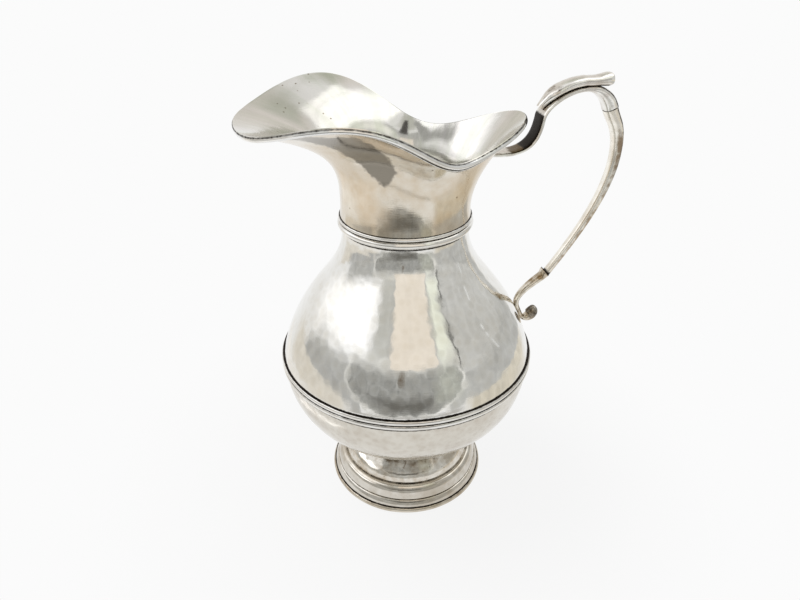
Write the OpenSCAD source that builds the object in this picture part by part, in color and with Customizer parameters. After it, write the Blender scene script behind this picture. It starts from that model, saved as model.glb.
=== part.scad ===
// Footed water pitcher raised in silver sheet, with a wide pouring lip and a scroll handle.
// Millimetres, Z up. The origin is the centre of the ring the foot rests on.
// The lip points along -X and the handle stands along +X.

/* [Sheet] */
// thickness of the raised sheet
wall = 1; // [0.8:0.1:1.4]
// depth to which soldered pieces are let into each other
seat = 0.3; // [0.2:0.05:0.4]

/* [Foot] */
// outer radius of the wire ring at the base
base_r = 52.5; // [47:0.5:58]
// height of the base ring
base_h = 4.1; // [3.2:0.1:5]
// radial width of the base ring
base_w = 6.5; // [5.5:0.5:8]
// step in from the base ring to the foot moulding
band_step = 1.6; // [1:0.1:2.4]
// draw of the moulding's sloping band, from the base ring in to the foot of its round
band_draw = 2.5; // [1.6:0.1:3.4]
// height of the sloping band of the moulding
band_h = 4.9; // [4:0.1:6]
// height of the round of the moulding
round_h = 9; // [7.5:0.5:11]
// width of the round of the moulding, in to the stem
round_w = 5.6; // [4.4:0.1:7]
// draw of the stem, from the moulding in to the bowl
stem_draw = 11.5; // [8:0.1:15]
// height of the bowl's lowest point above the moulding
stem_rise = 18; // [14:0.5:22]

/* [Body] */
// radius of the belly at its seam
belly_r = 77.5; // [70:0.5:82]
// depth of the lower bowl below the belly band
bowl_depth = 60.7; // [52:0.1:68]
// fullness of the lower bowl, 2 is an ellipse
bowl_fullness = 2.15; // [2:0.05:2.5]
// height of the reeded belly band
belly_band_h = 6.4; // [5:0.1:8]
// how far the belly band stands out of the body
belly_band_out = 1.5; // [1:0.1:2]
// height from the belly band to the neck band
shoulder_h = 81.5; // [72:0.5:90]
// lean of the shoulder at the belly band, degrees from upright
shoulder_lean = 15; // [8:1:22]
// length over which the shoulder keeps its fullness
shoulder_pull = 46; // [38:1:54]
// length over which the shoulder runs out into the neck
neck_pull = 30; // [22:1:38]
// outer radius of the neck
neck_r = 36.6; // [34:0.1:40]
// radius of the small upper reed of the neck band
neck_reed_s = 1.3; // [1:0.1:1.6]
// radius of the large lower reed of the neck band
neck_reed_l = 2.1; // [1.7:0.1:2.5]
// how far the large reed stands out of the neck
neck_reed_out = 2.3; // [1.9:0.1:3]

/* [Lip] */
// height of the straight neck above its band before the flare
flare_start = 1; // [0.5:0.5:6]
// reach of the rim at the pouring tip
tip_reach = 88.5; // [80:0.5:94]
// reach of the rim 30 degrees from the tip
cheek_reach = 87; // [80:0.5:93]
// reach of the rim 60 degrees from the tip, the raised wing
wing_reach = 76; // [70:0.5:82]
// reach of the rim square to the tip
flank_reach = 57; // [53:0.5:61]
// reach of the rim at its lowest place
dip_reach = 47.4; // [44:0.1:51]
// reach of the rim beside the handle
hip_reach = 54.4; // [50:0.1:58]
// reach of the rim at the handle
heel_reach = 67.5; // [63:0.5:71]
// height of the rim above the flare's start, at the pouring tip
tip_rise = 54; // [48:0.5:60]
// height of the rim at the cheek
cheek_rise = 56.6; // [51:0.1:62]
// height of the rim at the wing
wing_rise = 63.9; // [58:0.1:70]
// height of the rim at the flank
flank_rise = 47.8; // [43:0.1:52]
// height of the rim at the dip
dip_rise = 37.6; // [34:0.1:42]
// height of the rim beside the handle
hip_rise = 42.1; // [38:0.1:46]
// height of the rim at the handle
heel_rise = 50.1; // [46:0.1:54]
// suddenness of the flare at the pouring tip
flare_tip = 4.1; // [3.4:0.1:4.8]
// suddenness of the flare at the flanks
flare_side = 3.5; // [2.9:0.1:4.2]
// suddenness of the flare at the handle
flare_heel = 1.95; // [1.6:0.05:2.4]
// height of the rim wire along the sheet
wire_h = 3.8; // [3.2:0.1:4.4]
// thickness of the rim wire off the sheet
wire_t = 2.3; // [1.8:0.1:2.8]

/* [Handle] */
// height of the handle's root on the neck, above the flare's start
root_rise = 29.6; // [26:0.1:33]
// how far the root strap runs out before it turns up
root_run = 29; // [27:0.5:32]
// height gained by the root strap in its first bend
root_climb = 18; // [15:0.5:21]
// thickness of the root strap
strap_t = 2.8; // [2.4:0.1:3.4]
// width of the root strap
strap_w = 13; // [11:0.5:15]
// place of the knuckle outward of the strap's bend
knuckle_out = 40.7; // [38:0.1:43]
// height of the knuckle above the strap's bend
knuckle_up = 2.8; // [1:0.1:5]
// rise of the strap's crown over the straight line to the knuckle
crown = 24; // [21:0.5:28]
// length of the thumb leaf's free end
leaf_end = 16.4; // [14:0.2:18.4]
// lift of the thumb leaf's free end, degrees
leaf_lift = 8; // [5:1:11]
// thickness of the thumb leaf
leaf_t = 5.6; // [5:0.1:6.2]
// width of the thumb leaf
leaf_w = 12; // [10.5:0.5:13.5]
// extra thickness of the thumb leaf's rolled end, as a share
leaf_roll = 0.36; // [0.24:0.02:0.44]
// outward swing of the arm past the knuckle
arm_out = 7.9; // [6:0.1:10]
// drop from the knuckle to the arm's outermost place
arm_drop = 25.9; // [22:0.1:30]
// thickness of the arm at the knuckle
arm_t = 8; // [7:0.1:8.6]
// width of the arm at the knuckle
arm_w = 9.5; // [8.5:0.5:10.5]
// thickness of the arm at the collar
arm_end_t = 4.2; // [3.6:0.1:4.8]
// width of the arm at the collar
arm_end_w = 6; // [5:0.5:7]
// height of the tail's seat on the body, above the belly band
tail_rise = 16; // [13:0.5:19]
// place of the collar outward of the tail's seat
collar_out = 17.6; // [15:0.1:20]
// height of the collar above the tail's seat
collar_up = 23; // [20:0.5:26]
// how far the collar's ear stands over the inside of the arm
collar_ear = 1.8; // [1:0.1:2.6]
// thickness of the tail scroll at the collar
tail_t = 5.2; // [4.8:0.1:6]
// thickness of the tail scroll at its seat
tail_seat_t = 3.4; // [3:0.1:4.2]
// length the tail runs on down the body, past its seat, before it curls
tail_run = 7; // [5:0.5:9]
// radius of the end curl, to the middle of the scroll
curl_r = 4.2; // [3.6:0.1:5]

/* [Hidden] */
$fn = 96;
steps = 30;
around = 80;
flare_rows = 16;
band_low_r = base_r - band_step;
band_top_r = band_low_r - band_draw;
stem_low_r = band_top_r - round_w;
stem_top_r = stem_low_r - stem_draw;
z_band = base_h;
z_round = z_band + band_h;
z_stem = z_round + round_h;
z_bowl = z_stem + stem_rise;
z_belly0 = z_bowl + bowl_depth;
z_belly1 = z_belly0 + belly_band_h;
z_seam = (z_belly0 + z_belly1) / 2;
z_neck0 = z_belly1 + shoulder_h;
z_neck1 = z_neck0 + 2 * neck_reed_s + 2 * neck_reed_l;
z_neck_seam = z_neck0 + 2 * neck_reed_l;
z_flare = z_neck1 + flare_start;

// smooth steps and cubic curves
function ease(t) = t <= 0 ? 0 : t >= 1 ? 1 : t * t * (3 - 2 * t);
function cubic(a, b, c, d, t) =
    pow(1 - t, 3) * a + 3 * t * pow(1 - t, 2) * b + 3 * t * t * (1 - t) * c + pow(t, 3) * d;
function slope(a, b, c, d, t) =
    3 * pow(1 - t, 2) * (b - a) + 6 * t * (1 - t) * (c - b) + 3 * t * t * (d - c);
function unit(v) = v / norm(v);
function left_of(v) = [-v[1], v[0]];

// outline of the lower bowl, from the seam down to the axis
function bowl_at(r, depth, a) =
    [r * pow(cos(a), 2 / bowl_fullness), z_belly0 - depth * pow(sin(a), 2 / bowl_fullness)];
function bowl_z(r) =
    z_belly0 - bowl_depth * pow(1 - pow(r / belly_r, bowl_fullness), 1 / bowl_fullness);

// outline of the shoulder, from the belly band up to the neck
sh0 = [belly_r, z_belly1];
sh1 = sh0 + shoulder_pull * [-sin(shoulder_lean), cos(shoulder_lean)];
sh3 = [neck_r, z_neck0];
sh2 = sh3 - [0, neck_pull];
function shoulder(t) = cubic(sh0, sh1, sh2, sh3, t);
function shoulder_in(t) = shoulder(t) + wall * left_of(unit(slope(sh0, sh1, sh2, sh3, t)));
function shoulder_t(z, lo = 0, hi = 1, n = 24) =
    n == 0 ? (lo + hi) / 2
    : shoulder((lo + hi) / 2)[1] < z ? shoulder_t(z, (lo + hi) / 2, hi, n - 1)
    : shoulder_t(z, lo, (lo + hi) / 2, n - 1);
function shoulder_r(z) = shoulder(shoulder_t(z))[0];

// the rim is the smooth wave through its seven named places, the same on both sides
reach = [tip_reach, cheek_reach, wing_reach, flank_reach, dip_reach, hip_reach, heel_reach];
rise = [tip_rise, cheek_rise, wing_rise, flank_rise, dip_rise, hip_rise, heel_rise];
end_half = [0.5, 1, 1, 1, 1, 1, 0.5];
function wave(f) = [for (k = [0:6])
    end_half[k] / 3 * ([for (j = [0:6]) end_half[j] * f[j]] * [for (j = [0:6]) cos(30 * j * k)])];
reach_wave = wave(reach);
rise_wave = wave(rise);
function at_angle(w, a) = w * [for (k = [0:6]) cos(k * a)];
function power(a) = (flare_tip + flare_heel) / 4 + flare_side / 2
    + (flare_tip - flare_heel) / 2 * cos(a)
    + ((flare_tip + flare_heel) / 4 - flare_side / 2) * cos(2 * a);
function rim_tilt(a) = atan2(power(a) * (at_angle(reach_wave, a) - neck_r), at_angle(rise_wave, a));
// edge of the sheet, inside the wire: [radius, height above the flare's start]
function edge(a) =
    [at_angle(reach_wave, a) - 0.9 * wire_t * cos(rim_tilt(a)), at_angle(rise_wave, a) - 0.2];
function flare(a, t) =
    [neck_r + (edge(a)[0] - neck_r) * pow(t, power(a)), z_flare + edge(a)[1] * t];
function flare_dir(a, t) =
    unit([power(a) * (edge(a)[0] - neck_r) * pow(max(t, 0.001), power(a) - 1), edge(a)[1]]);
function flare_in(a, t) = flare(a, t) + wall * left_of(flare_dir(a, t));
function spin(p, a) = [-p[0] * cos(a), -p[0] * sin(a), p[1]];

// middle line of the handle, as [x, z]
root_t = root_rise / edge(180)[1];
hr0 = flare(180, root_t) - [seat + wall / 4, 0];
hr3 = hr0 + [root_run, root_climb];
hr1 = hr0 + [root_run - 5, -3];
hr2 = hr3 - [1.5, 11];
hk3 = hr3 + [knuckle_out, knuckle_up];
hk1 = hr3 + [2, 10.5];
hk2 = hk3 + [-8.3, crown - knuckle_up];
ha3 = hk3 + [arm_out, -arm_drop];
ha1 = hk3 + 8 * unit(hk3 - hk2);
ha2 = ha3 + [0, 16];
z_tail = z_belly1 + tail_rise;
// the tail lies along the body at its seat
tail_way = -unit(slope(sh0, sh1, sh2, sh3, shoulder_t(z_tail)));
curl_ball = 2 * curl_r - 0.4 - tail_seat_t;
ht3 = [shoulder_r(z_tail) + tail_seat_t / 2 - seat, z_tail];
hc3 = ht3 + [collar_out, collar_up];
hc1 = ha3 - [0, 22];
hc2 = hc3 + 32 * [0.575, 0.818];
ht1 = hc3 - [6.5, 5.2];
ht2 = ht3 - 10 * tail_way;
function strap(v) = v <= 1 ? cubic(hr0, hr1, hr2, hr3, v) : cubic(hr3, hk1, hk2, hk3, v - 1);
function strap_dir(v) =
    unit(v <= 1 ? slope(hr0, hr1, hr2, hr3, v) : slope(hr3, hk1, hk2, hk3, v - 1));
function strap_half(v) = (strap_t + (arm_t - strap_t) * ease((v - 1.55) / 0.45)) / 2;
function arm(v) = v <= 1 ? cubic(hk3, ha1, ha2, ha3, v) : cubic(ha3, hc1, hc2, hc3, v - 1);
function curl_turn(v) = 200 * max(v - 1.4, 0) / 0.6;
function tail(v) = v <= 1 ? cubic(hc3, ht1, ht2, ht3, v)
    : ht3 + tail_run * min((v - 1) / 0.4, 1) * tail_way
        + curl_r * (sin(curl_turn(v)) * tail_way + (1 - cos(curl_turn(v))) * left_of(tail_way));

// a skin over rings of points, closed along each ring, with or without joined ends
module skin(rings, joined = false) {
    n = len(rings[0]);
    m = len(rings);
    points = [for (ring = rings) for (p = ring) p];
    sides = [for (i = [0:joined ? m - 1 : m - 2]) for (j = [0:n - 1]) for (half = [0, 1])
        let (a = i * n + j, b = i * n + (j + 1) % n, c = ((i + 1) % m) * n + j,
             d = ((i + 1) % m) * n + (j + 1) % n)
        half == 0 ? [a, b, d] : [a, d, c]];
    caps = joined ? [] : [[for (j = [n - 1:-1:0]) j], [for (j = [0:n - 1]) (m - 1) * n + j]];
    polyhedron(points = points, faces = concat(sides, caps), convexity = 10);
}

// rounded bar along a line in the XZ plane; each row is [middle, direction, half depth, half width]
module bar(rows, square = 2.6, sides = 16) {
    skin([for (row = rows)
        [for (j = [0:sides - 1])
            let (a = 360 * (j + 0.5) / sides,
                 c = sign(cos(a)) * pow(abs(cos(a)), 2 / square) * row[2],
                 s = sign(sin(a)) * pow(abs(sin(a)), 2 / square) * row[3],
                 p = row[0] + c * left_of(row[1]))
            [p[0], s, p[1]]]]);
}

// wire ring with a half-round outside, the pitcher rests on its flat underside
module base_ring() {
    color([0.74, 0.72, 0.68])
    rotate_extrude()
    polygon(concat(
        [[base_r - base_w, 0]],
        [for (i = [0:12]) [base_r - base_h / 2 + base_h / 2 * cos(-90 + 15 * i),
                           base_h / 2 + base_h / 2 * sin(-90 + 15 * i)]],
        [[base_r - base_w, base_h]]));
}

// spun moulding: a sloping band, a fine step and a quarter round that carries the stem
module foot_moulding() {
    color([0.76, 0.74, 0.69])
    rotate_extrude()
    polygon(concat(
        [[band_low_r, z_band - seat]],
        [for (i = [0:6]) [band_low_r - (band_low_r - band_top_r - 0.5) * pow(i / 6, 1.6),
                          z_band + (band_h - 0.7) * i / 6]],
        [[band_top_r - 0.4, z_round - 0.4]],
        [for (i = [0:10]) [stem_low_r + 0.3 + (band_top_r - 0.3 - stem_low_r) * cos(9 * i),
                           z_round + round_h * sin(9 * i)]],
        [[stem_low_r - 2 * wall, z_stem]],
        [[stem_low_r - 2 * wall, z_stem - wall]],
        [for (i = [9:-1:0]) [stem_low_r + 0.3 + (band_top_r - 0.3 - wall - stem_low_r) * cos(9 * i),
                             z_round + (round_h - wall) * sin(9 * i)]],
        [[band_top_r - 2 * wall, z_band - seat]]));
}

// domed stem that draws in to the bowl in an ogee
module foot_stem() {
    top = bowl_z(stem_top_r);
    color([0.7, 0.67, 0.62])
    rotate_extrude()
    polygon(concat(
        [for (i = [0:20]) [stem_top_r + (stem_low_r - stem_top_r) * (1 + cos(9 * i)) / 2,
                           z_stem - seat + (top - z_stem + seat) * i / 20]],
        [for (i = [20:-1:0]) [stem_top_r - wall + (stem_low_r - stem_top_r) * (1 + cos(9 * i)) / 2,
                              z_stem - seat + (top - z_stem + seat) * i / 20]]));
}

// raised lower bowl, closed at the bottom and open at the belly seam
module lower_bowl() {
    color([0.8, 0.78, 0.74])
    rotate_extrude()
    polygon(concat(
        [[belly_r, z_seam]],
        [for (i = [0:steps]) bowl_at(belly_r, bowl_depth, 90 * i / steps)],
        [for (i = [steps:-1:0]) bowl_at(belly_r - wall, bowl_depth - wall, 90 * i / steps)],
        [[belly_r - wall, z_seam]]));
}

// applied band of two equal reeds over the belly seam
module belly_band() {
    reed = belly_band_h / 4;
    color([0.66, 0.65, 0.63])
    rotate_extrude()
    polygon(concat(
        [[belly_r - seat, z_belly0]],
        [for (i = [0:12]) [belly_r + (belly_band_out - 0.2) * sin(15 * i) + 0.2,
                           z_belly0 + reed - reed * cos(15 * i)]],
        [for (i = [1:12]) [belly_r + (belly_band_out - 0.2) * sin(15 * i) + 0.2,
                           z_belly0 + 3 * reed - reed * cos(15 * i)]],
        [[belly_r - seat, z_belly1]]));
}

// raised upper body from the belly seam to the neck seam
module upper_body() {
    color([0.78, 0.77, 0.74])
    rotate_extrude()
    polygon(concat(
        [[belly_r, z_seam]],
        [for (i = [0:steps]) shoulder(i / steps)],
        [[neck_r, z_neck_seam]],
        [[neck_r - wall, z_neck_seam]],
        [for (i = [steps:-1:1]) shoulder_in(i / steps)],
        [[belly_r - wall, z_belly1 - 1]],
        [[belly_r - wall, z_seam]]));
}

// applied neck band: a large reed below a small one
module neck_band() {
    small_out = neck_reed_out - 0.6;
    color([0.66, 0.65, 0.63])
    rotate_extrude()
    polygon(concat(
        [[neck_r - seat, z_neck0]],
        [for (i = [0:12]) [neck_r + neck_reed_out - neck_reed_l + neck_reed_l * sin(15 * i),
                           z_neck0 + neck_reed_l - neck_reed_l * cos(15 * i)]],
        [for (i = [1:12]) [neck_r + small_out - neck_reed_s + neck_reed_s * sin(15 * i),
                           z_neck_seam + neck_reed_s - neck_reed_s * cos(15 * i)]],
        [[neck_r - seat, z_neck1]]));
}

// neck and pouring lip, raised from the round neck into the waved rim
module neck_spout() {
    rows = [for (i = [0:flare_rows]) 1 - pow(1 - i / flare_rows, 1.5)];
    color([0.8, 0.77, 0.72])
    skin([for (k = [0:around - 1]) let (a = 360 * k / around)
        concat(
            [spin([neck_r, z_neck_seam], a)],
            [for (t = rows) spin(flare(a, t), a)],
            [for (i = [flare_rows:-1:0]) spin(flare_in(a, rows[i]), a)],
            [spin([neck_r - wall, z_neck_seam], a)])], joined = true);
}

// half-round wire with a fine bead under it, soldered along the outside of the rim
module rim_wire() {
    bead = wire_h * 0.3;
    half = wire_h * 0.7 / 2;
    color([0.72, 0.71, 0.68])
    skin([for (k = [0:around - 1])
        let (a = 360 * k / around,
             up = flare_dir(a, 1),
             out = -left_of(up),
             top = flare(a, 1) + 0.2 * up - seat * out)
        concat(
            [for (i = [0:7]) spin(top + (half * cos(22.5 * i) - half) * up
                                  + (wire_t + seat) * sin(22.5 * i) * out, a)],
            [for (i = [0:4]) spin(top - (2 * half + bead / 2 - bead / 2 * cos(45 * i)) * up
                                  + (0.5 + 0.9 * sin(45 * i) - 0.5 * (i == 4 ? 1 : 0)) * out, a)])],
        joined = true);
}

// flat strap soldered under the rim, bent up and over, thickening to the knuckle
module handle_root() {
    color([0.55, 0.5, 0.42])
    bar([for (i = [0:40]) let (v = i / 20)
        [strap(v), strap_dir(v), strap_half(v),
         strap_w / 2 - (strap_w - arm_w) / 2 * ease(v - 1)]], square = 3.4);
}

// half thickness of the thumb leaf for a share of its seat on the strap
function leaf_half(u) = leaf_t / 2 * (0.7 + 0.3 * ease(2 * u));

// middle of the thumb leaf where it lies on the strap
function leaf_line(u) = let (v = 1.1 + 0.5 * u)
    strap(v) + (strap_half(v) + leaf_half(u) - seat) * left_of(strap_dir(v));

// thumb leaf on the crown of the strap, pointed at the back, blunt and rolled at the free end
module thumb_leaf() {
    dip = -3;
    bend = leaf_lift - dip;
    bend_r = leaf_end * 180 / (PI * bend);
    color([0.82, 0.8, 0.75])
    bar(concat(
        [for (i = [0:12]) let (u = i / 12)
            [leaf_line(u), strap_dir(1.1 + 0.5 * u), leaf_half(u), leaf_w / 2 * (0.3 + 0.7 * ease(1.3 * u))]],
        [for (i = [1:14])
            let (u = i / 14,
                 a = dip + bend * u,
                 blunt = sqrt(1 - pow(0.7 * max(u - 0.75, 0) / 0.25, 2)))
            [leaf_line(1) + bend_r * [sin(a) - sin(dip), cos(dip) - cos(a)], [cos(a), sin(a)],
             leaf_t / 2 * (1 + leaf_roll * ease((u - 0.35) / 0.55)) * blunt,
             leaf_w / 2 * (1 - 0.12 * ease(u / 0.8)) * blunt]]), square = 2.4);
}

// arm of the handle, full at the knuckle and drawn down to the collar
module handle_arm() {
    color([0.81, 0.78, 0.72])
    bar([for (i = [0:44]) let (v = i == 44 ? 2 : i / 22)
        [i == 0 ? arm(0) - seat * unit(ha1 - hk3) : i == 44 ? arm(2) + 0.6 * unit(hc3 - hc2) : arm(v),
         unit(v <= 1 ? slope(hk3, ha1, ha2, ha3, v) : slope(ha3, hc1, hc2, hc3, v - 1)),
         (arm_t + (arm_end_t - arm_t) * ease(v / 2)) / 2,
         (arm_w + (arm_end_w - arm_w) * ease(v / 2)) / 2]], square = 3.2);
}

// tail scroll, let onto the arm in a collar with a small ear, seated along the body, its end curled to a ball
module tail_scroll() {
    color([0.7, 0.64, 0.55])
    bar([for (i = [0:44])
        let (v = i / 22,
             d = unit(tail(v + 0.01) - tail(v - (i == 0 ? 0 : 0.01))),
             ear = collar_ear * (1 - ease((v - 0.04) / 0.1)),
             ball = curl_ball * ease((v - 1.45) / 0.4),
             close = sqrt(1 - pow(max((v - 1.84) / 0.165, 0), 2)))
        [tail(v) - ear / 2 * left_of(d), d,
         ((tail_t + (tail_seat_t - tail_t) * ease(v / 0.8) + ball) * close + ear) / 2,
         (arm_end_w + 1.4 + (tail_seat_t + 0.6 - arm_end_w) * ease(v / 0.9) + ball / 2) * close / 2]],
        square = 2.3);
}

base_ring();
foot_moulding();
foot_stem();
lower_bowl();
belly_band();
upper_body();
neck_band();
neck_spout();
rim_wire();
handle_root();
thumb_leaf();
handle_arm();
tail_scroll();
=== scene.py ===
"""Footed silver water pitcher, hand-hammered, with a waved pouring lip and a scroll handle."""

import math

import bmesh
import bpy
import numpy as np
from mathutils import Matrix, Vector


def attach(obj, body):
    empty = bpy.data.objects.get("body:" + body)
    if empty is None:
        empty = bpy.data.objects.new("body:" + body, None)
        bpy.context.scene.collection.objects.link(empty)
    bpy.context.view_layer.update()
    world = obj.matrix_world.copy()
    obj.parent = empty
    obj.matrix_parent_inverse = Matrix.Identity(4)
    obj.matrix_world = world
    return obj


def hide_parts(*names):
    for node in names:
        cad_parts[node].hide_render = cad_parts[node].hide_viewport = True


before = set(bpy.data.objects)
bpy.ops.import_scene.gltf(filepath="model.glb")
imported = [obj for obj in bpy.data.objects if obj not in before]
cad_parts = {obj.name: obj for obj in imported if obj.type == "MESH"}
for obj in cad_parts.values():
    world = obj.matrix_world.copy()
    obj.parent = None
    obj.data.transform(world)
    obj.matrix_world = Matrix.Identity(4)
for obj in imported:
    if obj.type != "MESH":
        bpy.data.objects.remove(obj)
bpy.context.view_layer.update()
scene = bpy.context.scene

# Base ring: a hoop of half-round silver wire soldered under the foot.
# Its flat underside is what the pitcher stands on, and dirt has dried in the joint above it.
mm = 0.001
base_r, base_h, base_w = 52.5, 4.1, 6.5


def put(tree, kind, feeds=None, **settings):
    """Adds a node. A feed gives an input, by name or number, a value, an output or a node's first output."""
    node = tree.nodes.new(kind)
    for key, value in settings.items():
        setattr(node, key, value)
    for key, value in (feeds or {}).items():
        if isinstance(value, bpy.types.Node):
            value = value.outputs[0]
        if isinstance(value, bpy.types.NodeSocket):
            tree.links.new(value, node.inputs[key])
        else:
            node.inputs[key].default_value = value
    return node


def add(tree, first, second, operation="ADD"):
    """The sum of two numbers, or another operation on them."""
    return put(tree, "ShaderNodeMath", {0: first, 1: second}, operation=operation).outputs[0]


def vector(tree, first, second, operation="ADD"):
    """The same for two places or directions."""
    return put(tree, "ShaderNodeVectorMath", {0: first, 1: second}, operation=operation).outputs[0]


def noise(tree, where, scale, detail, roughness=0.5):
    """Soft noise from 0 to 1."""
    feeds = {"Vector": where, "Scale": scale, "Detail": detail, "Roughness": roughness}
    return put(tree, "ShaderNodeTexNoise", feeds).outputs[0]


def new_group(name, kind, inputs, outputs):
    """An empty node group with named sockets; returns the group, its inputs and its output node."""
    group = bpy.data.node_groups.new(name, kind)
    for label, socket in inputs.items():
        group.interface.new_socket(label, in_out="INPUT", socket_type="NodeSocket" + socket)
    for label, socket in outputs.items():
        group.interface.new_socket(label, in_out="OUTPUT", socket_type="NodeSocket" + socket)
    return group, group.nodes.new("NodeGroupInput").outputs, group.nodes.new("NodeGroupOutput")


HAMMER_INPUTS = dict.fromkeys(("Mark Size", "Mark Depth", "Sway Size", "Sway Depth", "Seed"), "Float")


def hammer(seed, mark, depth, sway, sway_depth, steps=0):
    """Values for these inputs, with lengths in millimetres, and the steps round a turned piece."""
    values = (mark * mm, depth * mm, sway * mm, sway_depth * mm, float(seed), steps)
    return dict(zip((*HAMMER_INPUTS, "Steps Around"), values))


def geometry_group(name, inputs):
    """A new group for a geometry tree that has the hammer's inputs too."""
    sockets = {"Geometry": "Geometry", **inputs, **HAMMER_INPUTS}
    return new_group(name, "GeometryNodeTree", sockets, {"Geometry": "Geometry"})


# Hammer marks: shallow facets a mark apart, over the slow sway of sheet raised by hand.
planish, given, out = geometry_group("planish", {})
place = put(planish, "GeometryNodeInputPosition").outputs[0]
shifted = vector(planish, vector(planish, place, given["Mark Size"], "DIVIDE"), given["Seed"])
facets = {"Vector": shifted, "Scale": 1.0, "Smoothness": 0.35, "Randomness": 0.9}
facets = put(planish, "ShaderNodeTexVoronoi", facets, feature="SMOOTH_F1")
hollow = add(planish, facets.outputs["Distance"], 2.0, "POWER")
hollow = add(planish, 1.0, hollow, "SUBTRACT")
hollow = add(planish, hollow, given["Mark Depth"], "MULTIPLY")
swayed = vector(planish, vector(planish, place, given["Sway Size"], "DIVIDE"), given["Seed"])
sway = add(planish, noise(planish, swayed, 1.0, 1.0), given["Sway Depth"], "MULTIPLY")
inward = add(planish, add(planish, hollow, sway), -1.0, "MULTIPLY")
normal = put(planish, "GeometryNodeInputNormal").outputs[0]
offset = put(planish, "ShaderNodeVectorMath", {0: normal, "Scale": inward}, operation="SCALE")
beaten = put(planish, "GeometryNodeSetPosition", {"Geometry": given["Geometry"], "Offset": offset})
kept = put(planish, "GeometryNodeStoreNamedAttribute", {"Geometry": beaten, "Name": "mark"})
planish.links.new(facets.outputs["Distance"], kept.inputs["Value"])
planish.links.new(kept.outputs[0], out.inputs[0])


def finish_tree(tree, given, out, mesh):
    """Ends a geometry tree: hammer marks, smooth faces, real mesh and its silver."""
    hammering = {label: given[label] for label in HAMMER_INPUTS}
    marked = put(tree, "GeometryNodeGroup", {"Geometry": mesh, **hammering}, node_tree=planish)
    smooth = put(tree, "GeometryNodeSetShadeSmooth", {"Geometry": marked})
    real = put(tree, "GeometryNodeRealizeInstances", {"Geometry": smooth})
    dressed = put(tree, "GeometryNodeSetMaterial", {"Geometry": real, "Material": given["Silver"]})
    tree.links.new(dressed.outputs[0], out.inputs[0])


# Turned pieces: an outline swept round the pitcher's axis on a small hoop, then hammered.
HOOP = 1.0
turned, given, out = geometry_group("turned", {"Steps Around": "Int", "Silver": "Material"})
hoop = {"Resolution": given["Steps Around"], "Radius": HOOP * mm}
hoop = put(turned, "GeometryNodeCurvePrimitiveCircle", hoop)
edge = put(turned, "GeometryNodeMeshToCurve", {"Mesh": given["Geometry"]})
swept = put(turned, "GeometryNodeCurveToMesh", {"Curve": hoop, "Profile Curve": edge})
welded = put(turned, "GeometryNodeMergeByDistance", {"Geometry": swept, "Distance": 0.005 * mm})
finish_tree(turned, given, out, welded)


def face_outward(mesh):
    """Turns the faces of a closed mesh outward."""
    solid = bmesh.new()
    solid.from_mesh(mesh)
    if solid.calc_volume(signed=True) < 0:
        bmesh.ops.reverse_faces(solid, faces=solid.faces)
    solid.to_mesh(mesh)
    solid.free()


def make(name, start, tree, material, sizes):
    """Runs a geometry tree on a start mesh and keeps the result as a plain piece on the body."""
    piece = bpy.data.objects.new(name + "_silver", start)
    scene.collection.objects.link(piece)
    step = piece.modifiers.new("make", "NODES")
    step.node_group = tree
    values = {**sizes, "Silver": material}
    for item in tree.interface.items_tree:
        if item.in_out == "INPUT" and item.name in values:
            step[item.identifier] = values[item.name]
    bpy.context.view_layer.update()
    ready = piece.evaluated_get(bpy.context.evaluated_depsgraph_get())
    shape = bpy.data.meshes.new_from_object(ready)
    piece.modifiers.remove(step)
    piece.data = shape
    shape.name = name + "_silver"
    face_outward(shape)
    shape.set_sharp_from_angle(angle=math.radians(50))
    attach(piece, "root")
    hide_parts(name)
    return piece


def points_of(piece):
    """A piece's points in millimetres, as an array."""
    flat = np.empty(len(piece.data.vertices) * 3)
    piece.data.vertices.foreach_get("co", flat)
    return flat.reshape(-1, 3) / mm


def paint(piece, label, values):
    """Stores a number from 0 to 1 on each point, for the material to read."""
    layer = piece.data.attributes.new(label, "FLOAT", "POINT")
    layer.data.foreach_set("value", np.clip(values, 0.0, 1.0).astype(np.float32))


def peak(values, at, reach):
    """1 at a place, falling off softly on both sides of it."""
    return np.exp(-(((values - at) / reach) ** 2))


def near_heights(piece, lines):
    """How close each point is to these heights, given as {height: reach}."""
    height = points_of(piece)[:, 2]
    return sum(peak(height, at, reach) for at, reach in lines.items())


def darken(piece, lines):
    """Paints black along the joints at these heights: tarnish in the joints, and painted shade where a line
    lies just under a band.
    """
    paint(piece, "crease", near_heights(piece, lines))


def arc(centre, radius, start, end, steps):
    """Points of an arc in the outline plane, angles in degrees from the outward direction."""
    angles = [math.radians(start + (end - start) * i / steps) for i in range(steps + 1)]
    return [(centre[0] + radius * math.cos(a), centre[1] + radius * math.sin(a)) for a in angles]


def dense(points, gap):
    """The same outline with no stretch longer than the gap."""
    fine = []
    for (r0, z0), (r1, z1) in zip(points, points[1:]):
        parts = max(1, math.ceil(math.hypot(r1 - r0, z1 - z0) / gap))
        fine += [(r0 + (r1 - r0) * i / parts, z0 + (z1 - z0) * i / parts) for i in range(parts)]
    return fine + [points[-1]]


def mesh_of(name, points, edges=(), faces=()):
    """A mesh of points, edges and faces."""
    mesh = bpy.data.meshes.new(name)
    mesh.from_pydata(points, edges, faces)
    return mesh


def loop(count):
    """Edges that join a number of points in a closed line."""
    return [(i, (i + 1) % count) for i in range(count)]


def outline(points, closed=True):
    """A wire mesh of an outline given as (radius, height), outer wall downwards."""
    edges = loop(len(points)) if closed else loop(len(points))[:-1]
    return mesh_of("outline", [((r - HOOP) * mm, -z * mm, 0.0) for r, z in points], edges)


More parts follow.
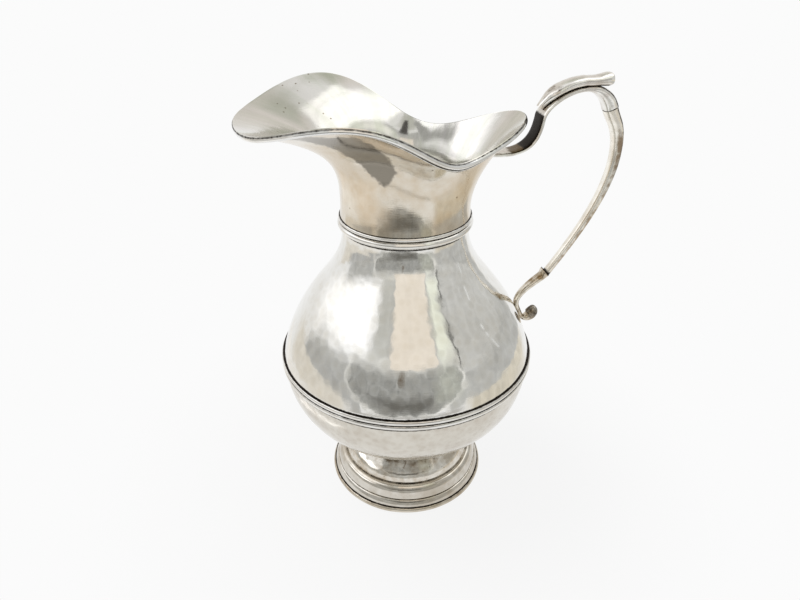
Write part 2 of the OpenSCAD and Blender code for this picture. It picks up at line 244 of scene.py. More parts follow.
def ramp(tree, value, low, high, to_low=0.0, to_high=1.0):
    """A smooth step between two numbers while a value goes from low to high."""
    feeds = {"Value": value, "From Min": low, "From Max": high, "To Min": to_low, "To Max": to_high}
    return put(tree, "ShaderNodeMapRange", feeds, interpolation_type="SMOOTHSTEP").outputs[0]


# Tarnish and painted shade: a thin warm film in patches, dark sulphide in the creases together with painted
# shade under bands and parts, blotches of stain and of painted shade and reflection, and dark pinholes.
TARNISH_INPUTS = ("Crease", "Stain", "Mark", "Mark Film", "Film", "Patches", "Spots", "Spot Grid")
tarnish_and_shade, given, out = new_group(
    "tarnish_and_shade",
    "ShaderNodeTree",
    dict.fromkeys(TARNISH_INPUTS, "Float"),
    dict.fromkeys(("Film", "Dark", "Stain", "Spots"), "Float"),
)
spot = put(tarnish_and_shade, "ShaderNodeTexCoord").outputs["Object"]
patch = ramp(tarnish_and_shade, noise(tarnish_and_shade, spot, given["Patches"], 5.0, 0.6), 0.38, 0.64, 0.0, given["Film"])
low_spots = ramp(tarnish_and_shade, given["Mark"], 0.2, 0.62, given["Mark Film"], 0.0)
film = put(tarnish_and_shade, "ShaderNodeMath", {0: patch, 1: low_spots}, operation="ADD", use_clamp=True).outputs[0]
grit = add(tarnish_and_shade, noise(tarnish_and_shade, spot, 420.0, 5.0, 0.7), 0.5, "SUBTRACT")
ragged = add(tarnish_and_shade, given["Crease"], add(tarnish_and_shade, grit, 0.9, "MULTIPLY"))
dark = ramp(tarnish_and_shade, ragged, 0.28, 0.85)
scallops = add(tarnish_and_shade, noise(tarnish_and_shade, spot, 210.0, 4.0, 0.6), 0.5, "SUBTRACT")
scallops = add(tarnish_and_shade, scallops, 1.3, "MULTIPLY")
blotch = ramp(tarnish_and_shade, add(tarnish_and_shade, given["Stain"], scallops), 0.3, 0.75)
holes = put(tarnish_and_shade, "ShaderNodeTexVoronoi", {"Vector": spot, "Scale": given["Spot Grid"]})
pin = ramp(tarnish_and_shade, holes.outputs["Distance"], 0.16, 0.06)
which = put(tarnish_and_shade, "ShaderNodeSeparateColor", {0: holes.outputs["Color"]}).outputs[0]
pin = add(tarnish_and_shade, pin, add(tarnish_and_shade, which, given["Spots"], "LESS_THAN"), "MULTIPLY")
for label, value in (("Film", film), ("Stain", blotch), ("Dark", dark), ("Spots", pin)):
    tarnish_and_shade.links.new(value, out.inputs[label])

# Handling wear: hairline polishing scratches both ways, a cloudy change of gloss and streaks from pouring.
wear, given, out = new_group(
    "wear", "ShaderNodeTree", {"Grain": "Float"}, dict.fromkeys(("Height", "Cloud", "Streak"), "Float")
)
spot = put(wear, "ShaderNodeTexCoord").outputs["Object"]
lying, upright = (vector(wear, spot, run, "MULTIPLY") for run in ((1.0, 1.0, 14.0), (10.0, 10.0, 1.0)))
hairs = [noise(wear, run, given["Grain"], 3.0) for run in (lying, upright)]
parts = put(wear, "ShaderNodeSeparateXYZ", {0: spot}).outputs
about = add(wear, parts[1], parts[0], "ARCTAN2")
fanned = {0: add(wear, about, 6.0, "MULTIPLY"), 1: add(wear, parts[2], 18.0, "MULTIPLY")}
fanned = put(wear, "ShaderNodeCombineXYZ", fanned).outputs[0]
wear.links.new(add(wear, *hairs), out.inputs["Height"])
wear.links.new(noise(wear, spot, 70.0, 4.0, 0.65), out.inputs["Cloud"])
wear.links.new(ramp(wear, noise(wear, fanned, 1.0, 4.0, 0.65), 0.36, 0.62), out.inputs["Streak"])


def mix(tree, factor, first, second):
    """One colour laid over another."""
    return put(tree, "ShaderNodeMix", {0: factor, 6: first, 7: second}, data_type="RGBA").outputs[2]


def painted(tree, label):
    """Reads a number that paint has stored."""
    return put(tree, "ShaderNodeAttribute", attribute_name=label).outputs["Fac"]


GREY_PAINTED_REFLECTION = (0.26, 0.235, 0.195)
BLACK_TARNISH_AND_SHADE = (0.018, 0.013, 0.009)
BROWN_PINHOLE = (0.16, 0.11, 0.06)
BRIGHT_PAINTED_HIGHLIGHT = (0.98, 0.98, 0.97)


def silver(
    name, metal, film_tone, film, patches, polish,
    spots=0.02, spot_grid=240.0, scratch=0.12, marks=0.2, blot=GREY_PAINTED_REFLECTION,
):
    """Old polished silver: clean metal, film, the duller inside, stains with painted shade and reflection,
    dark creases with painted shade, pinholes and painted highlights.
    """
    material = bpy.data.materials.new(name)
    material.use_nodes = True
    tree = material.node_tree
    shader = tree.nodes["Principled BSDF"]
    shader.inputs["Metallic"].default_value = 1.0
    painted_highlight = painted(tree, "painted_highlight")
    state = {label: painted(tree, label.lower()) for label in ("Crease", "Stain", "Mark")}
    state |= {"Film": film, "Patches": patches, "Spot Grid": spot_grid, "Mark Film": marks}
    state["Spots"] = add(tree, painted(tree, "pits"), spots)
    over = put(tree, "ShaderNodeGroup", state, node_tree=tarnish_and_shade).outputs
    use = put(tree, "ShaderNodeGroup", {"Grain": 160.0}, node_tree=wear).outputs
    colour = mix(tree, over["Film"], (*metal, 1.0), (*film_tone, 1.0))
    dulled = mix(tree, use["Streak"], (0.67, 0.67, 0.61, 1.0), (0.75, 0.73, 0.7, 1.0))
    dulled = mix(tree, painted(tree, "dull"), dulled, (0.38, 0.38, 0.31, 1.0))
    colour = mix(tree, painted(tree, "inside"), colour, dulled)
    # the blotch tone paints stains together with painted shade and reflection, the black paints tarnish
    # together with painted shade, and the bright tone paints highlights
    for mask, tone in (
        (over["Stain"], blot),
        (over["Dark"], BLACK_TARNISH_AND_SHADE),
        (over["Spots"], BROWN_PINHOLE),
        (painted_highlight, BRIGHT_PAINTED_HIGHLIGHT),
    ):
        colour = mix(tree, mask, colour, (*tone, 1.0))
    tree.links.new(colour, shader.inputs["Base Color"])
    gloss = {"From Min": 0.3, "From Max": 0.7, "To Min": polish * 0.7, "To Max": polish * 1.4}
    rough = put(tree, "ShaderNodeMapRange", {"Value": use["Cloud"], **gloss}).outputs[0]
    rough = add(tree, rough, add(tree, over["Film"], 0.06, "MULTIPLY"))
    rough = add(tree, rough, add(tree, add(tree, over["Dark"], painted_highlight), 0.35, "MULTIPLY"))
    tree.links.new(rough, shader.inputs["Roughness"])
    relief = put(tree, "ShaderNodeBump", {"Height": use["Height"], "Strength": scratch, "Distance": 0.1 * mm})
    tree.links.new(relief.outputs[0], shader.inputs["Normal"])
    return material


base_silver = silver("base_silver", (0.65, 0.6, 0.51), (0.41, 0.34, 0.25), 0.8, 45.0, 0.12)
half = base_h / 2
ring = arc((base_r - half, half), half, 90, -90, 40)
ring = dense(ring + [(base_r - base_w, 0.0), (base_r - base_w, base_h)], 1.0)
base_ring = make(
    "base_ring", outline(ring), turned, base_silver, hammer(1, 7, 0.05, 20, 0.2, 300)
)
darken(base_ring, {base_h: 0.55})

# Foot moulding: spun sheet with a sloping band, a fine step and a bold round.
# It is soldered on the base ring and carries the stem, and its steps hold old tarnish.
wall, seat = 1.0, 0.3
band_low_r = base_r - 1.6
band_top_r = band_low_r - 2.5
band_h, round_h, round_w = 4.9, 9.0, 5.6
round_lap, step_w, step_h, notch = 0.3, 0.5, 0.7, 0.4
z_band = base_h
z_round = z_band + band_h
z_stem = z_round + round_h
stem_low_r = band_top_r - round_w

sheet_silver = silver(
    "sheet_silver", (0.7, 0.67, 0.61), (0.42, 0.36, 0.28), 0.6, 60.0, 0.07, spots=0.14, spot_grid=380.0
)
quarter = [math.radians(90 * i / 24) for i in range(25)]
round_r = stem_low_r + round_lap
outer = [
    (round_r + (round_w - round_lap) * math.cos(a), z_round + round_h * math.sin(a))
    for a in reversed(quarter)
]
slope = [
    (band_low_r - (band_low_r - band_top_r - step_w) * (i / 12) ** 1.6, z_band + (band_h - step_h) * i / 12)
    for i in range(12, -1, -1)
]
inner = [
    (round_r + (round_w - round_lap - wall) * math.cos(a), z_round + (round_h - wall) * math.sin(a))
    for a in quarter[:-1]
]
moulding = dense(
    [(stem_low_r - 2 * wall, z_stem)]
    + outer
    + [(band_top_r - notch, z_round - notch)]
    + slope
    + [(band_low_r, z_band - seat), (band_top_r - 2 * wall, z_band - seat)]
    + inner
    + [(stem_low_r - 2 * wall, z_stem - wall)],
    0.9,
)
foot_moulding = make(
    "foot_moulding", outline(moulding), turned, sheet_silver, hammer(2, 6, 0.04, 18, 0.25, 360)
)
darken(foot_moulding, {z_band: 0.6, z_round - notch: 0.3, z_stem: 0.22})

# Foot stem: a raised cone of sheet that draws in to the bowl in an ogee.
# It is soldered to the bowl above and the moulding below; its brown bands are tarnish together with painted
# shade and reflection of the bowl above.
stem_top_r = stem_low_r - 11.5
stem_rise, belly_r, bowl_depth, bowl_fullness = 18.0, 77.5, 60.7, 2.15
z_bowl = z_stem + stem_rise
z_belly0 = z_bowl + bowl_depth
stem_top = z_belly0 - bowl_depth * (1 - (stem_top_r / belly_r) ** bowl_fullness) ** (1 / bowl_fullness)


def ogee(radius, share):
    """A point of the stem's side, share 0 at the moulding and 1 under the bowl."""
    swing = (1 + math.cos(math.pi * share)) / 2
    return (radius + (stem_low_r - stem_top_r) * swing, z_stem - seat + (stem_top - z_stem + seat) * share)


stem_silver = silver(
    "stem_silver", (0.78, 0.75, 0.69), (0.4, 0.32, 0.22), 0.6, 90.0, 0.07,
    spots=0.2, spot_grid=400.0, blot=(0.2, 0.15, 0.1),
)
stem = [ogee(stem_top_r, i / 30) for i in range(30, -1, -1)]
stem += [ogee(stem_top_r - wall, i / 30) for i in range(31)]
foot_stem = make(
    "foot_stem", outline(dense(stem, 0.9)), turned, stem_silver,
    hammer(3, 4, 0.11, 16, 0.25, 300),
)
darken(foot_stem, {z_stem: 0.25, stem_top: 1.0})
# brown bands on the stem: tarnish together with painted shade and reflection of the bowl above
paint(foot_stem, "stain", 0.5 * near_heights(foot_stem, {z_stem + 13.0: 4.5, stem_top: 6.0}))
paint(foot_stem, "pits", near_heights(foot_stem, {z_stem + 4.0: 2.2}))

# Lower bowl: raised from one disc of sheet over a stake, closely hammered and softly polished.
# It sits in the stem and is closed by the belly seam above.
belly_band_h = 6.4
z_belly1 = z_belly0 + belly_band_h
z_seam = (z_belly0 + z_belly1) / 2


def bowl_side(radius, depth, steps):
    """The bowl's outline from the belly down to the axis."""
    angles = [math.pi / 2 * i / steps for i in range(steps + 1)]
    return [
        (
            radius * max(0.0, math.cos(a)) ** (2 / bowl_fullness) if i < steps else 0.0,
            z_belly0 - depth * math.sin(a) ** (2 / bowl_fullness),
        )
        for i, a in enumerate(angles)
    ]


bowl_silver = silver(
    "bowl_silver", (0.68, 0.65, 0.585), (0.53, 0.48, 0.41), 0.45, 60.0, 0.14, scratch=0.2, marks=0.35
)
bowl = list(reversed(bowl_side(belly_r - wall, bowl_depth - wall, 40)))
bowl += [(belly_r - wall, z_seam), (belly_r, z_seam)]
bowl += dense(bowl_side(belly_r, bowl_depth, 90), 1.1)
lower_bowl = make(
    "lower_bowl", outline(bowl, closed=False), turned, bowl_silver,
    hammer(4, 4, 0.13, 30, 0.4, 460),
)
# the black line just under the belly band is tarnish together with painted shade under the band
darken(lower_bowl, {z_belly0 - 0.7: 0.9, stem_top: 0.7})

# Belly band: two reeds of drawn wire laid side by side over the seam between bowl and body.
# The groove between them and both edges are black with tarnish.
belly_band_out, reed_lap = 1.5, 0.2
reed = belly_band_h / 4


def reed_side(middle, height, reach):
    """Half-round of one reed, from its top edge down."""
    turns = [math.pi * i / 24 for i in range(25)]
    foot = belly_r + reed_lap
    return [(foot + (reach - reed_lap) * math.sin(a), middle + height * math.cos(a)) for a in turns]


wire_silver = silver("wire_silver", (0.8, 0.79, 0.76), (0.62, 0.58, 0.52), 0.5, 45.0, 0.09)
band = [(belly_r - seat, z_belly1)]
band += reed_side(z_belly1 - reed, reed, belly_band_out)
band += reed_side(z_belly0 + reed, reed, belly_band_out)[1:]
band += [(belly_r - seat, z_belly0)]
belly_band = make(
    "belly_band", outline(dense(band, 0.8)), turned, wire_silver,
    hammer(5, 6, 0.03, 12, 0.12, 480),
)
darken(belly_band, {z_belly0: 0.8, z_seam: 0.6, z_belly1: 0.35})

# Upper body: sheet raised and drawn in to the neck, soldered to bowl and neck under their bands.
# It is planished with a broad flat hammer and well polished, so that what stands round it shows in it
# with wavy edges.
shoulder_h, shoulder_lean, shoulder_pull, neck_pull = 81.5, math.radians(15), 46.0, 30.0
neck_r, reed_small, reed_large = 36.6, 1.3, 2.1
z_neck0 = z_belly1 + shoulder_h
z_neck_seam = z_neck0 + 2 * reed_large
z_neck1 = z_neck_seam + 2 * reed_small


def cubic(a, b, c, d, t):
    """A point of a cubic curve through a and d, pulled by b and c."""
    t = np.asarray(t, dtype=float)[..., None]
    return (1 - t) ** 3 * a + 3 * t * (1 - t) ** 2 * b + 3 * t * t * (1 - t) * c + t**3 * d


def slope_of(a, b, c, d, t):
    """Unit direction along the same curve."""
    t = np.asarray(t, dtype=float)[..., None]
    way = (1 - t) ** 2 * (b - a) + 2 * t * (1 - t) * (c - b) + t * t * (d - c)
    return way / np.linalg.norm(way, axis=-1, keepdims=True)


def left_of(way):
    """A quarter turn of a direction in its plane."""
    return np.stack([-way[..., 1], way[..., 0]], axis=-1)


sh0 = np.array([belly_r, z_belly1])
sh1 = sh0 + shoulder_pull * np.array([-math.sin(shoulder_lean), math.cos(shoulder_lean)])
sh3 = np.array([neck_r, z_neck0])
sh2 = sh3 - np.array([0.0, neck_pull])
shoulder = (sh0, sh1, sh2, sh3)
share = np.linspace(0, 1, 111)
outside = cubic(*shoulder, share)
within = outside + wall * left_of(slope_of(*shoulder, share))
body = [(neck_r - wall, z_neck_seam), (neck_r, z_neck_seam)]
body += [tuple(p) for p in outside[::-1]] + [(belly_r, z_seam), (belly_r - wall, z_seam)]
body += [(belly_r - wall, z_belly1 - 1)] + [tuple(p) for p in within[3::3]]
body_silver = silver(
    "body_silver", (0.82, 0.815, 0.79), (0.71, 0.685, 0.625), 0.5, 24.0, 0.06,
    spots=0.003, spot_grid=300.0, scratch=0.1, marks=0.3,
)
upper_body = make(
    "upper_body", outline(body), turned, body_silver, hammer(6, 4.6, 0.105, 26, 0.35, 520)
)
# the black line just under the neck band is tarnish together with painted shade under the band
darken(upper_body, {z_belly1: 0.45, z_neck0 - 0.9: 0.6})


def unrolled(piece):
    """A piece's points as [degrees from the lip's tip, height]."""
    spots = points_of(piece)
    return np.stack([np.degrees(np.arctan2(-spots[:, 1], -spots[:, 0])), spots[:, 2]], -1)


def near_line(spots, start, end):
    """Distance of each spot from the straight line between two places."""
    edge = end - start
    along = np.clip(((spots - start) @ edge) / (edge @ edge), 0, 1)
    return np.linalg.norm(spots - start - along[:, None] * edge, axis=1)


# painted highlights: short bright strokes on the side where hammered facets catch the light, each from one
# place to the next as (degrees from the lip, height)
PAINTED_HIGHLIGHTS = [
    [(127.1, 170.8), (127.4, 166.0)],
    [(124.9, 158.8), (124.1, 153.2)],
    [(123.8, 140.6), (124.2, 139.0)],
    [(124.9, 136.2), (125.4, 135.0)],
    [(126.8, 132.4), (128.7, 128.0), (129.2, 127.4)],
]
lines = [(np.array(start), np.array(end)) for painted_highlight in PAINTED_HIGHLIGHTS for start, end in zip(painted_highlight, painted_highlight[1:])]
from_painted_highlight = np.min([near_line(unrolled(upper_body), *line) for line in lines], axis=0)
# paints the bright highlight strokes into the body's colour
paint(upper_body, "painted_highlight", peak(from_painted_highlight, 0.0, 0.6))

# Neck band: a large reed under a small one, both drawn wire, soldered over the neck seam.
# The lines above, below and between the reeds are dark with tarnish.
neck_out = 2.3
small_out = neck_out - 0.6
collar = [(neck_r - seat, z_neck1)]
collar += arc((neck_r + small_out - reed_small, z_neck_seam + reed_small), reed_small, 90, -90, 20)
collar += arc((neck_r + neck_out - reed_large, z_neck0 + reed_large), reed_large, 90, -90, 24)[1:]
collar += [(neck_r - seat, z_neck0)]
neck_band = make(
    "neck_band", outline(dense(collar, 0.7)), turned, wire_silver,
    hammer(7, 6, 0.03, 10, 0.12, 320),
)
darken(neck_band, {z_neck0: 0.9, z_neck1: 0.45, z_neck_seam: 0.36})

# Neck and pouring lip: one piece of sheet, raised from the round neck into a waved rim that is
# high at the cheeks of the lip, low at the flanks and high again under the handle.
# It is soldered to the body under the neck band.
z_flare = z_neck1 + 1.0
wire_h, wire_t = 3.8, 2.3
reach = np.array([88.5, 87.0, 76.0, 57.0, 47.4, 54.4, 67.5])
rise = np.array([54.0, 56.6, 63.9, 47.8, 37.6, 42.1, 50.1])
flare_tip, flare_side, flare_heel = 4.1, 3.5, 1.95
heel_out, heel_rise, neck_lap = 0.6, 3.5, 0.9


def rim_wave(places, angle):
    """The smooth wave through seven places 30 degrees apart, from the tip to the handle."""
    ends = np.array([0.5, 1, 1, 1, 1, 1, 0.5])
    steps = np.radians(30) * np.arange(7)
    parts = ends / 3 * (np.cos(np.outer(np.arange(7), steps)) @ (ends * places))
    return np.cos(np.outer(angle, np.arange(7))) @ parts


def suddenness(angle):
    """How late the sheet turns out into the lip at this angle from the tip."""
    middle = (flare_tip + flare_heel) / 4
    tip_to_heel = (flare_tip - flare_heel) / 2 * np.cos(angle)
    return middle + flare_side / 2 + tip_to_heel + (middle - flare_side / 2) * np.cos(2 * angle)


def sheet_edge(angle):
    """Radius and height of the sheet's edge inside the rim wire."""
    out, up = rim_wave(reach, angle), rim_wave(rise, angle)
    tilt = np.arctan2(suddenness(angle) * (out - neck_r), up)
    return out - 0.9 * wire_t * np.cos(tilt), up - 0.2


def flare(angle, share):
    """The sheet's outer face as [radius, height] for a share of the way up to the rim."""
    out, up = sheet_edge(angle)
    heel = heel_out * np.exp(-up * share / heel_rise)
    radius = neck_r + heel + (out - neck_r) * share ** suddenness(angle)
    return np.stack([radius, z_flare + up * share], axis=-1)


def flare_way(angle, share):
    """Direction up the sheet's outer face in the meridian plane."""
    out, up = sheet_edge(angle)
    lean = suddenness(angle)
    way = np.stack([lean * (out - neck_r) * np.maximum(share, 0.001) ** (lean - 1), up], axis=-1)
    return way / np.linalg.norm(way, axis=-1, keepdims=True)


def spun(flat, angle):
    """Places of [radius, height] turned to an angle from the lip's tip, in metres."""
    radius, height = flat[..., 0], flat[..., 1]
    return np.stack([-radius * np.cos(angle), -radius * np.sin(angle), height], axis=-1) * mm


def skin(rings, looped):
    """A mesh over rings of points, each ring closed; the run of rings is looped or capped."""
    count, size = len(rings), len(rings[0])
    faces = []
    for i in range(count if looped else count - 1):
        here, ahead = i * size, (i + 1) % count * size
        faces += [(here + j, here + (j + 1) % size, ahead + (j + 1) % size, ahead + j) for j in range(size)]
    if not looped:
        faces += [tuple(range(size - 1, -1, -1)), tuple(range((count - 1) * size, count * size))]
    mesh = mesh_of("skin", [tuple(p) for ring in rings for p in ring], faces=faces)
    face_outward(mesh)
    return mesh


# shapes that aren't turned are hammered as they are
hammered, given, out = geometry_group("hammered", {"Silver": "Material"})
finish_tree(hammered, given, out, given["Geometry"])

angles = np.radians(np.arange(480) * 0.75)
climb = 1 - (1 - np.linspace(0, 1, 66)) ** 1.4
rings = []
for angle in angles:
    turn = np.full(len(climb), angle)
    face = flare(turn, climb)
    back = face + wall * left_of(flare_way(turn, climb))
    foot_out, foot_in = [[neck_r + neck_lap, z_neck_seam]], [[neck_r - wall, z_neck_seam]]
    flat = np.concatenate([foot_out, face, back[::-1], foot_in])
    rings.append(spun(flat, np.full(len(flat), angle)))
lip_silver = silver("lip_silver", (0.74, 0.7, 0.62), (0.62, 0.53, 0.41), 0.85, 26.0, 0.075, spots=0.06)
neck_spout = make(
    "neck_spout", skin(rings, True), hammered, lip_silver, hammer(8, 5, 0.05, 24, 0.2)
)
row = len(climb)
shares = np.concatenate([[0], climb, climb[::-1], [0]])
inner_wall = np.concatenate([np.zeros(row + 1), np.ones(row + 1)])
out_edge, up_edge = sheet_edge(angles)
pace = np.hypot(suddenness(angles) * (out_edge - neck_r), up_edge)
below_rim = (pace[:, None] * (1 - shares)[None, :]).ravel()
outer_wall = 1 - np.tile(inner_wall, len(angles))
# the band on the sheet just under the rim wire is painted dark: tarnish together with painted shade under the
# wire
under_wire = peak(np.maximum(below_rim - wire_h, 0.0), 0.0, 2.6) * outer_wall
at_band = np.exp(-((points_of(neck_spout)[:, 2] - z_neck1) ** 2) / 0.35) * outer_wall
paint(neck_spout, "crease", under_wire + at_band)
paint(neck_spout, "inside", np.tile(inner_wall, len(angles)))


def within_shape(spots, corners):
    """How far each spot lies inside a closed shape, negative outside it."""
    ends = np.roll(corners, -1, axis=0)
    best = np.full(len(spots), 1e9)
    inside = np.zeros(len(spots), dtype=bool)
    for start, end in zip(corners, ends):
        edge = end - start
        best = np.minimum(best, near_line(spots, start, end))
        crosses = (start[1] > spots[:, 1]) != (end[1] > spots[:, 1])
        slant = edge[0] * (spots[:, 1] - start[1]) / (edge[1] + 1e-9)
        inside ^= crosses & (spots[:, 0] < slant + start[0])
    return np.where(inside, best, -best)


# a dark patch under the lip, a painted reflection of the dark shoulder laid on as a stain, ragged on the
# handle's side: its corners as (degrees from the tip, height)
UNDER_LIP = [(36, 250), (58, 249), (62, 244), (66, 239), (70, 233), (73, 227.5)]
UNDER_LIP += [(70, 223), (62.5, 218.5), (57, 221.5), (50, 227), (44, 234), (40, 241)]
mm_a_degree = 0.78
flat = unrolled(neck_spout)
edge_in = within_shape(flat * (mm_a_degree, 1.0), np.array(UNDER_LIP) * (mm_a_degree, 1.0))
# inside, a dull streak with brown pits runs from the rim down to the neck
dull_streak = peak(flat[:, 0], -36, 12) * (1 - outer_wall)
# paints the dark reflection under the lip onto the outside wall
paint(neck_spout, "stain", (0.52 + edge_in / 5) * outer_wall)
paint(neck_spout, "dull", 0.3 * dull_streak)
paint(neck_spout, "pits", 0.4 * dull_streak)

# Rim wire: half-round wire with a fine bead under it, soldered along the outside of the rim.
# It stiffens the thin edge; the line between wire and bead is dark.
along, given, out = geometry_group("wire_along", {"Section": "Object", "Silver": "Material"})
path = put(along, "GeometryNodeMeshToCurve", {"Mesh": given["Geometry"]})
facing = put(along, "GeometryNodeInputNamedAttribute", {"Name": "facing"}, data_type="FLOAT_VECTOR")
path = put(along, "GeometryNodeSetCurveNormal", {"Curve": path, "Normal": facing}, mode="FREE")
section = put(along, "GeometryNodeObjectInfo", {"Object": given["Section"]})
section = put(along, "GeometryNodeMeshToCurve", {"Mesh": section.outputs["Geometry"]})
drawn = put(along, "GeometryNodeCurveToMesh", {"Curve": path, "Profile Curve": section})
finish_tree(along, given, out, drawn)

angles = np.radians(np.arange(720) * 0.5)
ones = np.ones(len(angles))
up = flare_way(angles, ones)
rim = spun(flare(angles, ones) + 0.2 * up, angles)
facing = spun(-left_of(up), angles) / mm
tangent = np.roll(rim, -1, axis=0) - np.roll(rim, 1, axis=0)
tangent /= np.linalg.norm(tangent, axis=1, keepdims=True)
facing -= (facing * tangent).sum(axis=1, keepdims=True) * tangent
facing /= np.linalg.norm(facing, axis=1, keepdims=True)
rim_path = mesh_of("rim_path", [tuple(p) for p in rim], loop(len(rim)))
rim_path.attributes.new("facing", "FLOAT_VECTOR", "POINT").data.foreach_set("vector", facing.ravel())

wire_half, bead_half = wire_h * 0.35, wire_h * 0.15
wire_flat, bead_out, bead_swell = 0.4, 0.9, 1.0
wire_section = []
for i in range(18):
    a = math.pi * i / 18
    proud = (wire_t - wire_flat + seat) * math.sin(a) ** 0.8 - seat
    wire_section.append((proud, wire_half - wire_half * math.cos(a)))
for i in range(11):
    a = math.pi * i / 10
    proud = bead_out - seat + bead_swell * math.sin(a) if i < 10 else -seat
    wire_section.append((proud, 2 * wire_half + bead_half - bead_half * math.cos(a)))
section_points = [(x * mm, y * mm, 0.0) for x, y in wire_section]
section_mesh = mesh_of("wire_section", section_points, loop(len(wire_section)))
section_shape = bpy.data.objects.new("wire_section", section_mesh)
scene.collection.objects.link(section_shape)
rim_silver = silver("rim_silver", (0.84, 0.84, 0.83), (0.66, 0.65, 0.62), 0.5, 60.0, 0.09)
rim_wire = make(
    "rim_wire", rim_path, along, rim_silver,
    {"Section": section_shape, **hammer(9, 8, 0.04, 16, 0.15)},
)
bpy.data.objects.remove(section_shape)
across_wire = np.array([y for _, y in wire_section])
groove = np.exp(-((across_wire - 2 * wire_half) ** 2) / 0.12) + 0.7 * np.exp(-(across_wire**2) / 0.006)
paint(rim_wire, "crease", np.tile(groove, len(angles)))

# Handle root: a flat strap, forged and bent, soldered to the neck under the rim.
# It turns up and over to the knuckle; its hollow side is nearly black, tarnish together with painted shade.
strap_t, strap_w, arm_t, arm_w = 2.8, 13.0, 8.0, 9.5
root_rise, root_run, root_climb = 29.6, 29.0, 18.0
knuckle_out, knuckle_up, crown = 40.7, 2.8, 24.0
root_share = root_rise / sheet_edge(np.array([math.pi]))[1]
hr0 = flare(np.array([math.pi]), root_share)[0] - np.array([seat + wall / 4, 0.0])
hr3 = hr0 + np.array([root_run, root_climb])
hr1 = hr0 + np.array([root_run - 5.0, -3.0])
hr2 = hr3 - np.array([1.5, 11.0])
hk3 = hr3 + np.array([knuckle_out, knuckle_up])
hk1 = hr3 + np.array([2.0, 10.5])
hk2 = hk3 + np.array([-8.3, crown - knuckle_up])
strap = ((hr0, hr1, hr2, hr3), (hr3, hk1, hk2, hk3))


def ease(t):
    """A smooth step from 0 to 1."""
    t = np.clip(t, 0.0, 1.0)
    return t * t * (3 - 2 * t)


def stretch(v, start, start_length, end, end_length):
    """1 along a stretch of a bar, with a soft start and a soft end."""
    return ease((v - start) / start_length) * (1 - ease((v - end) / end_length))


def two_curves(first, second, v):
    """Places and directions along two joined curves, v from 0 to 2."""
    v = np.asarray(v, dtype=float)
    low = (v <= 1)[..., None]
    place = np.where(low, cubic(*first, np.minimum(v, 1)), cubic(*second, np.maximum(v - 1, 0)))
    way = np.where(low, slope_of(*first, np.minimum(v, 1)), slope_of(*second, np.maximum(v - 1, 0)))
    return place, way


def strap_half(v):
    """Half the strap's thickness, growing to the arm's at the knuckle."""
    return (strap_t + (arm_t - strap_t) * ease((v - 1.55) / 0.45)) / 2


# round a bar: 1 is its left side as it runs away from the neck, and -1 its right side
BAR_SIDES = 40
around = 2 * math.pi * (np.arange(BAR_SIDES) + 0.5) / BAR_SIDES
leftward = np.cos(around)


def bar(place, way, depth, width, square):
    """A rounded bar along a line in the XZ plane, with its half depth and half width at each step."""
    across = np.sign(leftward) * np.abs(leftward) ** (2 / square)
    beside = np.sign(np.sin(around)) * np.abs(np.sin(around)) ** (2 / square)
    rings = []
    for spot, run, deep, wide in zip(place, left_of(way), depth, width):
        flat = spot + np.outer(across * deep, run)
        rings.append(np.stack([flat[:, 0], beside * wide, flat[:, 1]], axis=-1) * mm)
    return skin(rings, False)


HANDLE_MARKS = (5, 0.06, 14, 0.15)
handle_silver = silver(
    "handle_silver", (0.87, 0.86, 0.82), (0.56, 0.51, 0.46), 0.6, 130.0, 0.12,
    spots=0.03, spot_grid=420.0, blot=(0.11, 0.07, 0.027),
)
v = np.linspace(0, 2, 121)
place, way = two_curves(*strap, v)
strap_width = strap_w / 2 - (strap_w - arm_w) / 2 * ease(v - 1)
root = bar(place, way, strap_half(v), strap_width, square=3.4)
handle_root = make(
    "handle_root", root, hammered, handle_silver, hammer(10, *HANDLE_MARKS)
)
# the strap's hollow side is painted nearly black: tarnish together with painted shade
hollow_side = np.outer(stretch(v, 0.3, 0.15, 1.0, 0.1), leftward > 0.4)
# the strap's top under the leaf is painted dark as shade in the gap
under_leaf = np.outer(stretch(v, 1.12, 0.1, 1.96, 0.1), ease((leftward - 0.93) / 0.05))
# a dark line along the knuckle's outer corner: tarnish together with painted shade and reflection
outer_corner = peak(np.arccos(leftward), 0.95, 0.25)
knuckle_side = np.outer(ease((v - 1.66) / 0.14), outer_corner)
dark_sides = np.maximum(np.maximum(1.2 * hollow_side, 0.95 * under_leaf), 0.85 * knuckle_side)
paint(handle_root, "crease", dark_sides.ravel())
golden = np.outer(stretch(v, 0.12, 0.12, 0.5, 0.1), leftward > 0.2)
paint(handle_root, "stain", 0.8 * golden.ravel())

# Thumb leaf: a forged leaf soldered on the crown of the strap for the thumb to press on.
# It is pointed and cut with a few veins at the back, and blunt and rolled at its free end; the gap under it
# is painted dark as shade, on the leaf's underside and on the strap's top.
leaf_t, leaf_w, leaf_end, leaf_roll = 5.6, 12.0, 16.4, 0.36
leaf_dip, leaf_lift = math.radians(-3), math.radians(8)
seated = np.linspace(0, 1, 60)
v = 1.1 + 0.5 * seated
place, way = two_curves(*strap, v)
seat_half = leaf_t / 2 * (0.7 + 0.3 * ease(2 * seated))
leaf_place = place + (strap_half(v) + seat_half - seat)[:, None] * left_of(way)
free = 1 - (1 - np.linspace(0, 1, 60)[1:]) ** 1.5
lean = leaf_dip + (leaf_lift - leaf_dip) * free
swing = np.stack([np.sin(lean) - math.sin(leaf_dip), math.cos(leaf_dip) - np.cos(lean)], axis=-1)
leaf_place = np.concatenate([leaf_place, leaf_place[-1] + leaf_end / (leaf_lift - leaf_dip) * swing])
leaf_way = np.concatenate([way, np.stack([np.cos(lean), np.sin(lean)], axis=-1)])
